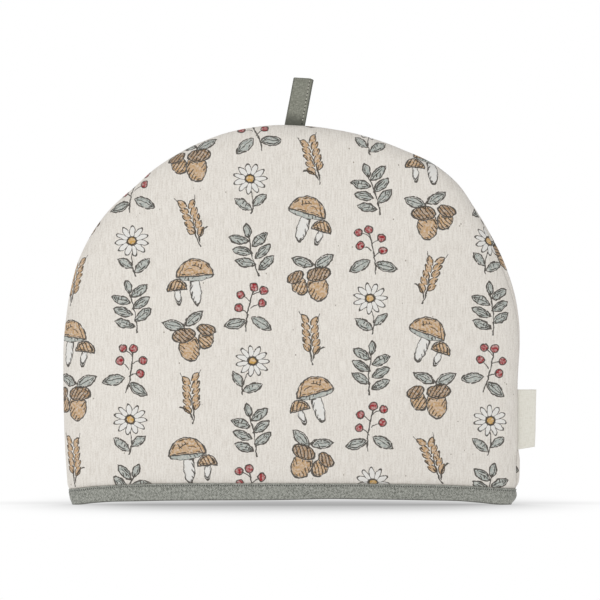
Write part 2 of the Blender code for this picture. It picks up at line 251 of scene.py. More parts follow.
def smooth_curve(*pairs):
    """A smooth curve through pairs of a place and a value. It reads single places and arrays."""
    places, values = np.array(pairs, float).T
    rises = np.diff(values) / np.diff(places)
    before = np.concatenate([rises[:1], rises])
    after = np.concatenate([rises, rises[-1:]])
    slopes = np.where(before * after > 0, (before + after) / 2, 0.0)
    fine = np.linspace(places[0], places[-1], CURVE_STEPS)
    k = np.clip(np.searchsorted(places, fine, side="right") - 1, 0, len(places) - 2)
    step = places[k + 1] - places[k]
    t = (fine - places[k]) / step
    start = (1 + 2 * t) * (1 - t) ** 2 * values[k] + t * (1 - t) ** 2 * step * slopes[k]
    end = t * t * (3 - 2 * t) * values[k + 1] - t * t * (1 - t) * step * slopes[k + 1]
    return lambda at: np.interp(at, fine, start + end)


def ease(t):
    """From 0 to 1 with a soft start and a soft end."""
    t = np.clip(t, 0.0, 1.0)
    return t * t * (3 - 2 * t)


def unit(ways):
    """Directions brought to a length of one."""
    return ways / np.linalg.norm(ways, axis=-1, keepdims=True)


def travelled(points):
    """Distance along a line of points, or along each line of a stack."""
    steps = np.linalg.norm(np.diff(points, axis=-2), axis=-1)
    return np.concatenate([np.zeros((*steps.shape[:-1], 1)), np.cumsum(steps, axis=-1)], axis=-1)


outline_swell = smooth_curve(       # by angle, right side to left side
    (0, 0.3), (10, 1.6), (20, 2.2), (32, 3.0), (38, 4.2), (46, 7.0), (54, 5.8), (62, 2.3),
    (72, 0.3), (84, -0.5), (99, 0.5), (118, 0.9), (126, 1.0), (133, 0.2), (143, 2.9),
    (155, 3.2), (165, 1.1), (173, 0.0), (180, 0.3))
left_side = smooth_curve(           # by height
    (0, 167.6), (1.3, 168.3), (4, 169.0), (8, 169.6), (11, 170.3), (13, 171.4), (16, 172.3),
    (20, 172.6), (25, 173.0), (34, 173.6), (45, 174.2), (60, 174.8), (90, 175.2), (118, 175.3))
right_side = smooth_curve(
    (0, 166.4), (1.3, 168.7), (4, 170.9), (8, 171.8), (11, 171.8), (13, 172.4), (17, 174.4),
    (25, 175.3), (34, 175.6), (45, 174.2),
    (60, 173.8), (90, 173.7), (118, 175.3))
back_shows = smooth_curve(          # how much of the back is seen past the right seam, by height
    (0, 0.0), (12, 0.6), (20, 2.2), (33, 3.2), (45, 0.6), (60, 0.0), (110, 0.0), (125, 1.2),
    (156, 2.3), (187, 3.6), (212, 2.0), (235, 0.6), (262, 0.0))
seam_forward = smooth_curve(        # how far the right seam wanders to the front, by height
    (0, 0.0), (12, 0.0), (20, 1.6), (33, 3.6), (45, 2.4), (60, 1.6), (110, 1.4), (125, 2.4),
    (156, 3.8), (187, 4.6), (212, 3.4), (235, 1.4), (262, 0.0))
hem_under = smooth_curve(           # lower edge of the binding, by distance from the middle
    (-180, 0.0), (-166, 0.0), (-154, 1.3), (-140, 2.4), (-118, 3.0), (-96, 3.6), (-5, 4.4),
    (30, 5.1), (62, 4.7), (100, 3.9), (130, 3.0), (147, 1.5), (162, 0.0), (180, 0.0))
hem_over = smooth_curve(            # upper edge of the binding
    (-180, 10.8), (-170, 11.4), (-162, 12.4), (-154, 13.4), (-142, 14.3), (-130, 15.0),
    (-115, 15.6), (-98, 16.0), (-68, 16.3), (30, 16.2), (62, 15.9), (105, 15.1), (130, 14.2),
    (147, 13.2), (160, 12.3), (172, 11.6), (180, 11.2))

PADDED_EDGE = np.array([            # inset from the seam, rise off it, wall behind, share of puff
    (2.2, 0.0, 1.6, 0.0), (1.1, 0.1, 2.4, 0.0), (0.4, 0.7, 3.3, 0.4), (0.05, 1.7, 4.2, 0.8),
    (0.0, 2.6, 4.8, 1.0), (0.3, 3.8, 5.2, 1.0), (0.9, 5.0, 5.6, 1.0), (1.9, 6.2, 6.3, 0.88),
    (3.2, 7.2, 6.9, 0.7), (5.0, 8.0, 7.6, 0.5), (7.2, 8.6, 8.3, 0.3), (10.0, 8.9, 8.8, 0.12),
    (13.0, 9.0, 9.0, 0.0)])
RINGS = len(PADDED_EDGE) - 1


over_edge = float(hem_over(-HALF_WIDTH)), float(hem_over(HALF_WIDTH))


def dome_points(angles):
    """Seam points on the dome's arc: x, z and the direction that points outward."""
    turn = np.radians(angles)
    grow = 1 + (outline_swell(angles) - EDGE_PUFF) / DOME_RISE
    x = HALF_WIDTH * np.cos(turn) * grow
    z = SHOULDER_START + DOME_RISE * np.sin(turn) * grow
    out = unit(np.stack([np.cos(turn) / HALF_WIDTH, np.sin(turn) / DOME_RISE], axis=1))
    shows = np.where(x > 0, back_shows(z), 0.0)
    return np.column_stack([x - shows * out[:, 0], z - shows * out[:, 1], out])


def side_points(right):
    """One side of the seam, from the hem up to the corner of the panel."""
    over = over_edge[1] if right else over_edge[0]
    near = over + np.arange(1, NEAR_ROWS + 1) * NEAR_STEP
    length = SHOULDER_START - near[-1] + HALF_WIDTH * math.radians(180.0 - CORNER_ANGLE)
    heights = np.concatenate([np.linspace(BINDING_CLOTH, over, BOUND_ROWS + 1), near,
                              near[-1] + length * np.arange(1, SIDE_ROWS + 1) / SIDE_ROWS])
    low = heights[heights <= SHOULDER_START]
    angles = np.degrees((heights[heights > SHOULDER_START] - SHOULDER_START) / HALF_WIDTH)
    if right:
        x = right_side(low) - EDGE_PUFF - back_shows(low)
    else:
        x = EDGE_PUFF - left_side(low)
        angles = 180.0 - angles
    out = np.full_like(low, 1.0 if right else -1.0)
    straight = np.column_stack([x, low, out, np.zeros_like(low)])
    return np.concatenate([straight, dome_points(angles)])


top_angles = np.linspace(CORNER_ANGLE, 180.0 - CORNER_ANGLE, COLUMNS + 1)[1:-1]
seam = np.concatenate([side_points(False), dome_points(top_angles), side_points(True)[::-1]])
SEAM_STEPS = len(seam) - 1
seam_angles = np.arctan2(seam[:, 1], seam[:, 0])[::-1]
seam_reach = np.hypot(seam[:, 0], seam[:, 1])[::-1]


def spread(x, z):
    """Half the depth of the hollow behind a point."""
    reach = np.interp(np.arctan2(np.maximum(z, 0.0), x), seam_angles, seam_reach)
    share = np.minimum(np.hypot(x, z) / reach, 1.0)
    return HEM_SPREAD * (1 - share * share) ** SPREAD_POWER


def edge_points(index, ring, back):
    """Points of the padded edge, seen from the front."""
    x, z, out_x, out_z = seam[index].T
    inset, share = PADDED_EDGE[ring][:, [0, 3]].T
    puff = EDGE_PUFF + np.where(back & (x > 0), back_shows(z), 0.0)
    inward = inset - puff * share
    return np.stack([x - out_x * inward, z - out_z * inward], axis=-1)


def inner_points(column, row, back):
    """Points inside the padded edge: the four sides blended together."""
    across = (column / COLUMNS)[:, None]
    up = ((row / ROWS) ** CROWN_LATE)[:, None]
    whole = np.full_like(row, RINGS)
    left = edge_points(row, whole, back)
    right = edge_points(SEAM_STEPS - row, whole, back)
    top = edge_points(ROWS + column, whole, back)
    ends = edge_points(np.array([ROWS, SEAM_STEPS - ROWS]), np.full(2, RINGS), back)
    crown = ends[0] + (ends[1] - ends[0]) * across
    return left + (right - left) * across + (top - crown) * up


def follow_hem(x, z, row):
    """The lower rows follow the line of the hem, and less so further up."""
    bound = np.minimum(row / BOUND_ROWS, 1.0)
    lowest = hem_under(x) + BINDING_CLOTH
    over = hem_over(x)
    side_over = np.interp(x, (-HALF_WIDTH, HALF_WIDTH), over_edge)
    on_line = np.where(row < BOUND_ROWS, lowest + (over - lowest) * bound, z + over - side_over)
    held = 1 - ease((z - side_over) / ARCH_FADE)
    return z + (on_line - z) * held


def dents(x, z, creases):
    """Height of soft ridges and troughs, each placed as listed, at points of the cloth."""
    total = np.zeros_like(x)
    share, place, width = TROUGH
    for crease_x, crease_z, angle, half_length, half_width, height in creases:
        turn = math.radians(angle)
        along = (x - crease_x) * math.cos(turn) + (z - crease_z) * math.sin(turn)
        beside = (z - crease_z) * math.cos(turn) - (x - crease_x) * math.sin(turn)
        beside = (beside - CREASE_BEND * along * along / half_width) / half_width
        reach = height * np.exp(-(along / half_length) ** 2)
        total += reach * (np.exp(-beside ** 2) - share * np.exp(-((beside + place) / width) ** 2))
    return total


def uneven(x, z, bumps, seed):
    """Smooth random unevenness, from its height, the size of its bumps and its seed."""
    height, size, more = bumps
    return height * np.array([noise.noise(Vector((a / size, b / size, seed + more)))
                              for a, b in zip(x, z)])


def quads(point, rows, columns):
    """Faces between neighbours of a grid of numbered points."""
    return [(point(i, j), point(i + 1, j), point(i + 1, j + 1), point(i, j + 1))
            for i in range(rows) for j in range(columns)]


def cloth_mesh(name, points, faces, flat):
    """A closed piece of cloth. Flat gives the places of its corners, or of its outer points, on
    the cloth it was cut from. Its inner points come after the outer ones and share their places.
    """
    mesh = bpy.data.meshes.new(name)
    mesh.from_pydata((points + (SET_X, 0.0, 0.0)) * MM, [], faces)
    if len(flat) < len(mesh.loops):
        corners = np.empty(len(mesh.loops), int)
        mesh.loops.foreach_get("vertex_index", corners)
        flat = flat[corners % len(flat)]
    mesh.uv_layers.new(name="cloth").data.foreach_set("uv", (flat * MM).ravel())
    turned = bmesh.new()
    turned.from_mesh(mesh)
    bmesh.ops.recalc_face_normals(turned, faces=turned.faces)
    turned.to_mesh(mesh)
    turned.free()
    return mesh


def two_faced(name, outer, inner, faces, edge, flat):
    """A piece of cloth with an outer and an inner face, joined along their edge."""
    count = len(outer)
    joining = [(a, b, b + count, a + count) for a, b in zip(edge, edge[1:] + edge[:1])]
    behind = [tuple(corner + count for corner in corners[::-1]) for corners in faces]
    points = np.concatenate([outer, inner])
    return cloth_mesh(name, points, faces + joining + behind, np.array(flat))


def finished_object(name, mesh, *materials, slot):
    """Put a piece into the scene, riding on the cosy."""
    mesh.shade_smooth()
    for material in materials:
        mesh.materials.append(material)
    piece = into_scene(name, mesh)
    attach(piece, "root")
    return piece


def padded_panel(name, back, creases, print_shift):
    """Mesh of one panel, and the outer and inner points that its binding follows."""
    side = 1.0 if back else -1.0
    inner_grid = np.meshgrid(np.arange(COLUMNS + 1), np.arange(ROWS + 1), indexing="ij")
    column, row = (part.ravel() for part in inner_grid)
    rim_grid = np.meshgrid(np.arange(SEAM_STEPS + 1), np.arange(RINGS), indexing="ij")
    around, ring = (part.ravel() for part in rim_grid)
    x, z = np.concatenate([inner_points(column, row, back), edge_points(around, ring, back)]).T
    rows = np.concatenate([row, np.minimum(around, SEAM_STEPS - around)])
    rings = np.concatenate([np.full(len(row), RINGS), ring])
    seams = np.concatenate([np.zeros(len(row), int), around])
    z = follow_hem(x, z, np.minimum(rows, ROWS))
    above = z - hem_over(x)
    tight = 1 - ease(above / SQUEEZE_FADE)
    face = spread(x, z) + WALL - HEM_SQUEEZE * tight
    forward = np.where(seam[seams, 0] > 0, seam_forward(seam[seams, 1]), 0.0)
    seam_depth = np.where(rings < RINGS, SEAM_GAP - side * forward, 0.0)
    from_seam, rise, wall = PADDED_EDGE[rings, :3].T
    depth = seam_depth + (face - seam_depth) * rise / WALL
    fullness = np.minimum(1 - (1 - rise / WALL) * seam_depth / face, 1.0)
    wall = wall * fullness * (1 - (1 - HEM_WALL / WALL) * tight)
    points = np.column_stack([x, side * depth, z])

    def inside(i, j):
        return i * (ROWS + 1) + j

    def on_rim(i, j):
        if j < RINGS:
            return (COLUMNS + 1) * (ROWS + 1) + i * RINGS + j
        if i <= ROWS:
            return inside(0, i)
        if i >= SEAM_STEPS - ROWS:
            return inside(COLUMNS, SEAM_STEPS - i)
        return inside(i - ROWS, ROWS)

    faces = quads(inside, COLUMNS, ROWS) + quads(lambda j, i: on_rim(i, j), RINGS, SEAM_STEPS)
    if back:
        faces = [corners[::-1] for corners in faces]

    flat = np.column_stack([x, z])
    walk = travelled(np.array([[points[on_rim(i, j)] for j in range(RINGS, -1, -1)]
                               for i in range(SEAM_STEPS + 1)]))
    for i in range(SEAM_STEPS + 1):
        for j in range(RINGS):
            flat[on_rim(i, j)] = flat[on_rim(i, RINGS)] + seam[i, 2:] * walk[i, RINGS - j]
    flat[:, 0] *= -side
    flat += print_shift

    bare = bpy.data.meshes.new(name)
    bare.from_pydata(points, [], faces)
    bare.update()
    normals = np.empty(len(points) * 3)
    bare.vertices.foreach_get("normal", normals)
    normals = normals.reshape(-1, 3)
    bpy.data.meshes.remove(bare)

    seed = 7.0 if back else 2.0
    lift = dents(x, z, creases) * ease((above - HELD_FLAT) / CREASED_BY)
    for hills in HILLS:
        lift += uneven(x, z, hills, seed)
    pulled = np.exp(-np.maximum(above, 0.0) / HEM_PUCKER_FADE)
    lift += pulled * uneven(x, z * HEM_PUCKER_LONG, HEM_PUCKER, seed)
    into_seam = np.clip(from_seam / PADDED_EDGE[RINGS, 0], 0, 1) ** SEAM_PUCKER_EARLY
    gather = np.where(rings < RINGS, np.sin(np.pi * into_seam), 0.0)
    lift += gather * uneven(*flat.T, SEAM_PUCKER, seed)
    lift *= ease((above - HELD_FLAT) / FREE_BY)
    outer = points + normals * lift[:, None]

    level = normals.copy()
    level[rows <= BOUND_ROWS, 2] = 0.0
    lining = points - unit(level) * wall[:, None]
    lining[:, 1] = side * np.maximum(side * lining[:, 1], seam_depth)

    edge = [on_rim(i, 0) for i in range(SEAM_STEPS + 1)]
    edge += [on_rim(SEAM_STEPS, j) for j in range(1, RINGS)]
    edge += [inside(i, 0) for i in range(COLUMNS, -1, -1)]
    edge += [on_rim(0, j) for j in range(RINGS - 1, 0, -1)]
    mesh = two_faced(name, outer, lining, faces, edge, flat)
    unprinted = np.arange(len(mesh.polygons)) >= len(faces)
    mesh.polygons.foreach_set("material_index", unprinted.astype(int))

    bound, bound_rings = range(BOUND_ROWS + 1), range(FIRST_BOUND_RING, RINGS)
    rising = [[on_rim(r, j) for r in bound] for j in bound_rings]
    rising += [[inside(i, r) for r in bound] for i in range(COLUMNS + 1)]
    rising += [[on_rim(SEAM_STEPS - r, j) for r in bound] for j in bound_rings[::-1]]
    return mesh, points[rising], lining[rising]


# The cloth: unbleached cotton with a slight slub, printed with scattered field motifs
# in tan, grey-green and ochre, with dark pen lines and a little red.

CLOTH_COLOUR = (0.835, 0.796, 0.738)
SLUB_COLOUR = (0.695, 0.650, 0.588)
SPECK_COLOUR = (0.26, 0.22, 0.17)
INK = (0.052, 0.044, 0.036)
PAINTS = {
    "white": (0.80, 0.79, 0.76), "tan": (0.545, 0.345, 0.175), "umber": (0.36, 0.225, 0.12),
    "sage": (0.405, 0.440, 0.412), "ochre": (0.600, 0.350, 0.085), "red": (0.330, 0.022, 0.030)}
MOTIF_ACROSS = 46.0
MOTIF_UP = 46.0
MOTIF_SIZE = 1.1
MOTIF_TURN = 0.36           # most that a motif leans either way, in radians
MOTIF_DRIFT = (3.6, 3.6, 0.0)
HAND_SHAKE = (2.4, 2.4, 0.0)
PEN = 0.48                  # half the width of a pen line
HATCH_STEP = 2.3
HATCH_LINE = 0.36
HATCH_SLANT = (0.9, 0.5, 0.0)
FAR_OFF = 400.0
THREAD = 0.62
CREASE_REACH = 4.0          # cloth this close to other cloth gets painted shade, as in a seam
CREASE_SAMPLES = 8
CREASE_SHADE = (0.200, 0.180, 0.152)


def sides_of(place):
    """The two numbers of a flat place."""
    return node("SeparateXYZ", place).outputs[:2]


def place_of(x, y):
    """A flat place from its two numbers."""
    return node("CombineXYZ", x, y).outputs[0]


def seen_from(place, x, y, angle, long=1.0, wide=1.0):
    """A place measured from a centre, in a turned and scaled frame."""
    return node("Mapping", place, (x, y, 0.0), (0.0, 0.0, math.radians(angle)), (long, wide, 1.0),
                vector_type="TEXTURE").outputs[0]


def mottle(place, scale, detail=2.0, read="Fac"):
    """Soft random texture around one half, whose spots are about 1 / scale across."""
    return node("TexNoise", place, 0.0, scale, detail).outputs[read]


def streaks(place, across, up, detail=1.0):
    """The same, with spots drawn out into threads."""
    return mottle(arrow("MULTIPLY", place, (across, up, 0.0)), 1.0, detail)


def under(distance, reach):
    """1 where a distance is under a reach."""
    return number("LESS_THAN", distance, reach)


def pen_line(distance, at, half_line):
    """1 on a line that runs beside a shape's edge."""
    return number("COMPARE", distance, at, half_line)


def both(a, b):
    """Two marks or shares multiplied."""
    return number("MULTIPLY", a, b)


def nearest(*distances):
    """Distance outside the nearest of these shapes."""
    return functools.reduce(functools.partial(number, "MINIMUM"), distances)


def any_of(*marks):
    """1 where any of these marks is."""
    return functools.reduce(functools.partial(number, "MAXIMUM"), marks)


def leaf(place, x, y, angle, half_length, half_width):
    """Distance outside a pointed leaf."""
    slim = half_width / half_length
    back = (1 - slim * slim) / (2 * slim)
    folded = arrow("ABSOLUTE", seen_from(place, x, y, angle, half_length, half_length))
    away = arrow("DISTANCE", folded, (0.0, -back, 0.0))
    return number("MULTIPLY_ADD", away, half_length, -(back + slim) * half_length)


def oval(place, x, y, angle, long, wide):
    """Distance outside an oval, roughly."""
    away = arrow("LENGTH", seen_from(place, x, y, angle, long, wide))
    size = math.sqrt(long * wide)
    return number("MULTIPLY_ADD", away, size, -size)


def stroke(place, x, y, angle, half_length, bow, half_line):
    """A pen stroke on a short arc. A positive bow lifts its middle."""
    radius = (half_length ** 2 + bow ** 2) / (2 * abs(bow))
    local = seen_from(place, x, y, angle)
    away = arrow("DISTANCE", local, (0.0, bow - math.copysign(radius, bow), 0.0))
    along, beside = sides_of(local)
    line = both(pen_line(away, radius, half_line), pen_line(along, 0.0, half_length))
    return both(line, pen_line(beside, 0.0, radius))


def pairs_on_stem(place, step, first, last, stagger, middle):
    """Fold a stem so that one drawing, this high, is repeated up it on both sides."""
    x, y = sides_of(place)
    y = number("MULTIPLY_ADD", number("SIGN", x), stagger, y)
    level = number("SNAP", number("ADD", y, step / 2 - middle), step)
    level = number("MINIMUM", number("MAXIMUM", level, first), last)
    return place_of(number("ABSOLUTE", x), number("SUBTRACT", y, level))


# Each motif is drawn about its own middle and gives its pen lines and its colours. The pen
# is the half width of its line, and of a second line that goes over parts of the first.

def outlined(shape, pen, inside=1.25):
    """Pen lines on a shape's edge, and here and there again inside it."""
    line, again = pen
    return any_of(pen_line(shape, 0.0, line), pen_line(shape, -inside, again))


def cut_by(shape, cutter, gap=0.0):
    """A shape without the part of it that lies in another."""
    return number("MAXIMUM", shape, number("MULTIPLY_ADD", cutter, -1.0, gap))


def leaf_sprig(place, pen):
    """Leaves in pairs up a stem."""
    folded = pairs_on_stem(seen_from(place, 0.0, -3.0, 0), 8.4, -8.4, 8.4, 2.0, 3.4)
    leaves = nearest(
        leaf(folded, 6.9, 3.4, 27, 6.9, 3.0),
        leaf(place, 0.3, 15.0, 86, 5.0, 2.4))
    pen_marks = any_of(
        outlined(leaves, pen),
        stroke(place, 0.0, -2.6, 88, 15.4, 1.2, pen[0]),
        stroke(folded, 5.6, 2.7, 27, 4.8, 0.4, 0.26))
    return pen_marks, {"sage": under(leaves, -0.4)}


def acorns(place, pen):
    """Two acorns in their cups, with leaves."""
    cup = oval(place, -5.2, 4.8, -8, 8.2, 4.8)
    nut = cut_by(oval(place, -4.2, -4.4, 82, 9.6, 7.0), cup, 0.2)
    small_cup = oval(place, 11.0, 3.4, -28, 6.2, 3.8)
    small_nut = cut_by(oval(place, 8.6, -2.4, 62, 7.2, 5.2), small_cup, 0.2)
    small_nut = cut_by(small_nut, nut, 0.3)
    cups, nuts = nearest(cup, small_cup), nearest(nut, small_nut)
    greens = nearest(
        leaf(place, -9.6, 13.6, 150, 7.8, 3.6),
        leaf(place, 5.6, 13.6, 22, 7.6, 3.3))
    shade = cut_by(nuts, oval(place, -6.6, -2.4, 82, 9.0, 6.0), 0.6)
    pen_marks = any_of(
        outlined(nuts, pen),
        outlined(cups, pen, 1.5),
        outlined(greens, pen),
        stroke(place, -9.4, 13.6, 150, 5.6, 0.4, 0.26),
        stroke(place, 5.4, 13.6, 22, 5.6, 0.4, 0.26),
        stroke(place, -1.0, 11.2, 60, 5.0, 1.2, pen[0]))
    marks = {"tan": under(nuts, -0.5), "umber": under(cups, -0.2),
             "sage": under(greens, -0.6), "hatch": under(shade, -0.5)}
    return pen_marks, marks


def mushrooms(place, pen):
    """A large mushroom and a small one."""
    height = sides_of(place)[1]
    cap = number("MAXIMUM", oval(place, -2.6, 2.0, 3, 13.0, 12.4),
                 number("MULTIPLY_ADD", height, -1.0, 2.6))
    gills = cut_by(oval(place, -2.6, 2.4, 3, 12.4, 3.2), cap)
    stem = cut_by(oval(place, -2.2, -7.0, 88, 10.6, 3.8), gills)
    stem = number("MAXIMUM", stem, number("ADD", height, -1.0))
    small_cap = number("MAXIMUM", oval(place, 10.6, -6.0, -6, 6.8, 7.0),
                       number("MULTIPLY_ADD", height, -1.0, -6.2))
    small_stem = number("MAXIMUM", oval(place, 10.4, -10.4, 84, 6.0, 2.1),
                        number("ADD", height, 6.2))
    caps, stems = nearest(cap, small_cap), nearest(stem, small_stem)
    stems = cut_by(stems, small_cap, 0.2)
    shade = cut_by(caps, oval(place, -5.6, 4.0, 3, 11.6, 9.6), 0.4)
    side = cut_by(stem, oval(place, -4.0, -7.0, 88, 10.0, 3.2), 0.2)
    pen_marks = any_of(
        outlined(caps, pen),
        pen_line(gills, 0.0, 0.34),
        outlined(stems, pen, 1.0),
        stroke(place, -4.6, 8.6, 24, 3.6, 0.7, 0.3),
        stroke(place, 1.4, 7.4, -16, 3.0, 0.6, 0.26))
    marks = {"tan": under(caps, -0.5), "sage": under(gills, -0.3),
             "white": under(stems, -0.4),
             "hatch": any_of(under(shade, -0.4), under(side, -0.4))}
    return pen_marks, marks


def corn_ears(place, pen):
    """An ear of corn."""
    folded = pairs_on_stem(seen_from(place, 0.0, 1.4, 6), 4.8, -9.6, 9.6, 1.2, 1.6)
    grains = leaf(folded, 3.1, 1.6, 56, 4.1, 2.2)
    pen_marks = any_of(
        pen_line(grains, 0.0, 0.36),
        stroke(folded, 5.4, 4.6, 62, 3.6, -0.5, 0.24),
        stroke(place, 1.0, -9.4, 94, 9.0, 1.0, pen[0]),
        stroke(place, 5.6, -10.4, 52, 6.4, 2.2, pen[0]))
    return pen_marks, {"tan": under(grains, -0.1)}


def berry_sprig(place, pen):
    """Red berries on a stem."""
    folded = pairs_on_stem(place, 9.0, 0.0, 9.0, 2.6, 1.4)
    berries = nearest(
        oval(folded, 7.8, 2.0, 0, 2.8, 2.7),
        oval(place, -0.6, 15.0, 0, 2.9, 2.8))
    greens = nearest(
        leaf(place, -9.2, -9.4, 204, 8.0, 3.6),
        leaf(place, 8.8, -12.0, -20, 7.6, 3.4))
    pen_marks = any_of(
        pen_line(berries, 0.0, 0.4),
        outlined(greens, pen),
        stroke(folded, 3.2, -0.6, 34, 3.4, 0.5, 0.34),
        stroke(place, 0.0, -2.0, 93, 14.6, -1.3, pen[0]),
        stroke(place, -8.8, -9.2, 24, 5.6, 0.4, 0.26),
        stroke(place, 8.4, -11.8, -20, 5.4, 0.4, 0.26))
    return pen_marks, {"red": under(berries, -0.2), "sage": under(greens, -0.5)}


def daisy(place, pen):
    """A daisy on its stalk."""
    head = seen_from(place, 0.6, 6.4, 0, 1.06, 0.96)
    x, y = sides_of(head)
    turn = number("ARCTAN2", y, x)
    fold = number("PINGPONG", number("ADD", turn, math.pi), math.pi / 11)
    away = arrow("LENGTH", head)
    petal_place = place_of(away, both(fold, away))
    petals = oval(petal_place, 6.9, 0.0, 0, 4.2, 1.75)
    eye = number("SUBTRACT", away, 3.2)
    greens = nearest(
        leaf(place, 6.0, -11.4, 36, 7.0, 3.0),
        leaf(place, -5.6, -8.6, 142, 6.0, 2.7))
    pen_marks = any_of(
        pen_line(petals, 0.0, 0.36),
        pen_line(eye, 0.0, 0.4),
        outlined(greens, pen),
        stroke(place, 0.4, -10.2, 92, 8.2, 1.4, pen[0]))
    marks = {"white": under(petals, 0.0), "ochre": under(eye, -0.2),
             "sage": under(greens, -0.5)}
    return pen_marks, marks


MOTIFS = (acorns, leaf_sprig, mushrooms, daisy, corn_ears, berry_sprig)


def scattered_print(place):
    """Marks of the whole print: pen lines, and each colour by name."""
    wander = arrow("SUBTRACT", mottle(place, 0.22, read="Color"), (0.5, 0.5, 0.5))
    place = arrow("MULTIPLY_ADD", wander, HAND_SHAKE, place)
    x, y = sides_of(place)
    column = number("FLOOR", number("DIVIDE", x, MOTIF_ACROSS))
    odd = number("FLOORED_MODULO", column, 2.0)
    dropped = number("MULTIPLY_ADD", odd, MOTIF_UP / 2, y)
    level = number("FLOOR", number("DIVIDE", dropped, MOTIF_UP))
    kind = number("FLOORED_MODULO", number("ADD", column, level), 3.0)
    kind = number("MULTIPLY_ADD", kind, 2.0, odd)
    middle_x = both(number("ADD", column, 0.5), MOTIF_ACROSS)
    middle_y = both(number("ADD", level, 0.5), MOTIF_UP)
    local = place_of(number("SUBTRACT", x, middle_x), number("SUBTRACT", dropped, middle_y))
    chance = node("TexWhiteNoise", place_of(column, level), noise_dimensions="2D").outputs
    drift = arrow("SUBTRACT", chance["Color"], (0.5, 0.5, 0.5))
    turned = node("VectorRotate", arrow("MULTIPLY_ADD", drift, MOTIF_DRIFT, local),
                  rotation_type="Z_AXIS")
    feed(turned.inputs["Angle"], between(chance["Value"], 0.0, 1.0, -MOTIF_TURN, MOTIF_TURN))
    flip = number("MULTIPLY_ADD", number("FLOORED_MODULO", level, 2.0), -2.0, 1.0)
    flip = both(flip, 1 / MOTIF_SIZE)
    local = arrow("MULTIPLY", turned.outputs[0], place_of(flip, 1 / MOTIF_SIZE))
    line = between(mottle(local, 0.33, 1.0), 0.3, 0.7, PEN * 0.5, PEN * 1.5)
    again = between(mottle(local, 0.19), 0.46, 0.60, 0.0, PEN * 0.95)
    pen_marks, marks = [], {}
    for which, draw in enumerate(MOTIFS):
        off = number("SUBTRACT", 1.0, pen_line(kind, float(which), 0.4))
        lines, colours = draw(arrow("ADD", local, place_of(both(off, FAR_OFF), 0.0)), (line, again))
        pen_marks.append(lines)
        for colour, mark in colours.items():
            marks.setdefault(colour, []).append(mark)
    marks = {colour: any_of(*found) for colour, found in marks.items()}
    slanted = number("ADD", *sides_of(arrow("MULTIPLY", local, HATCH_SLANT)))
    comb = number("PINGPONG", slanted, HATCH_STEP / 2)
    stroked = under(mottle(local, 0.16, 1.0), 0.42)
    filled = both(any_of(marks["sage"], marks["tan"]), stroked)
    hatched = any_of(marks.pop("hatch"), marks["umber"], filled)
    hatching = both(under(comb, HATCH_LINE), hatched)
    broken = under(mottle(local, 0.5, 3.0), 0.68)
    return both(any_of(*pen_marks, hatching), broken), marks


def in_millimetres(place):
    """A place given in metres, in millimetres."""
    return arrow("MULTIPLY", place, (1 / MM,) * 3)


def matt_cotton(name, roughness, specular, sheen):
    """A cloth material: itself, its shader and the place on its flat cloth, in millimetres."""
    material = bpy.data.materials.new(name)
    material.use_nodes = True
    shader = material.node_tree.nodes["Principled BSDF"].inputs
    for socket, value in (("Roughness", roughness), ("Specular IOR Level", specular),
                          ("Sheen Weight", sheen)):
        shader[socket].default_value = value
    on_cloth = node("UVMap", tree=material.node_tree, uv_map="cloth").outputs[0]
    return material, shader, in_millimetres(on_cloth)


def woven(shader, place, warp, weft, slubs, slub_height, weave_height, strength, depth=0.00012):
    """Raise the slubs and the crossing threads."""
    across, up = sides_of(arrow("MULTIPLY", place, (math.pi / warp, math.pi / weft, 0.0)))
    weave = both(number("SINE", across), number("SINE", up))
    bump = node("Bump", strength, depth, tree=place.id_data)
    height = number("MULTIPLY_ADD", slubs, slub_height, both(weave, weave_height))
    feed(bump.inputs["Height"], height)
    feed(shader["Normal"], bump.outputs[0])


def cotton(name, printed):
    """Plain-woven unbleached cotton, with or without its print, with painted shade where other
    cloth is near.
    """
    material, shader, place = matt_cotton(name, 0.92, 0.22, 0.12)
    warp = streaks(place, 1.05, 0.10)
    weft = streaks(place, 0.95, 0.75)
    slub = number("MULTIPLY_ADD", weft, 0.8, warp)
    colour = laid_over(between(slub, 0.60, 1.06), SLUB_COLOUR, CLOTH_COLOUR)
    speck = node("TexVoronoi", arrow("MULTIPLY", place, (0.12, 0.09, 0.0)), 0.0, 1.0)
    tiny = under(speck.outputs["Distance"], 0.060)
    tiny = both(tiny, between(mottle(place, 0.11, 1.0), 0.40, 0.55))
    colour = laid_over(both(tiny, 0.8), colour, SPECK_COLOUR)
    if printed:
        pen_marks, marks = scattered_print(place)
        strength = between(mottle(place, 0.55, 3.0), 0.34, 0.60, 0.48, 1.0)
        for pigment, paint in PAINTS.items():
            colour = laid_over(both(marks[pigment], strength), colour, paint)
        colour = laid_over(both(pen_marks, 0.92), colour, INK)
    # Painted shade: the colour darkens where other cloth is near, as in seams and creases.
    open_air = node("AmbientOcclusion", WHITE, CREASE_REACH * MM, tree=place.id_data,
                    samples=CREASE_SAMPLES)
    crease_shade_share = between(open_air.outputs["AO"], 0.35, 0.95, 0.75, 0.0)
    feed(shader["Base Color"], laid_over(crease_shade_share, colour, CREASE_SHADE))
    woven(shader, place, THREAD, THREAD, slub, 1.6, 0.5, 0.55)
    return material


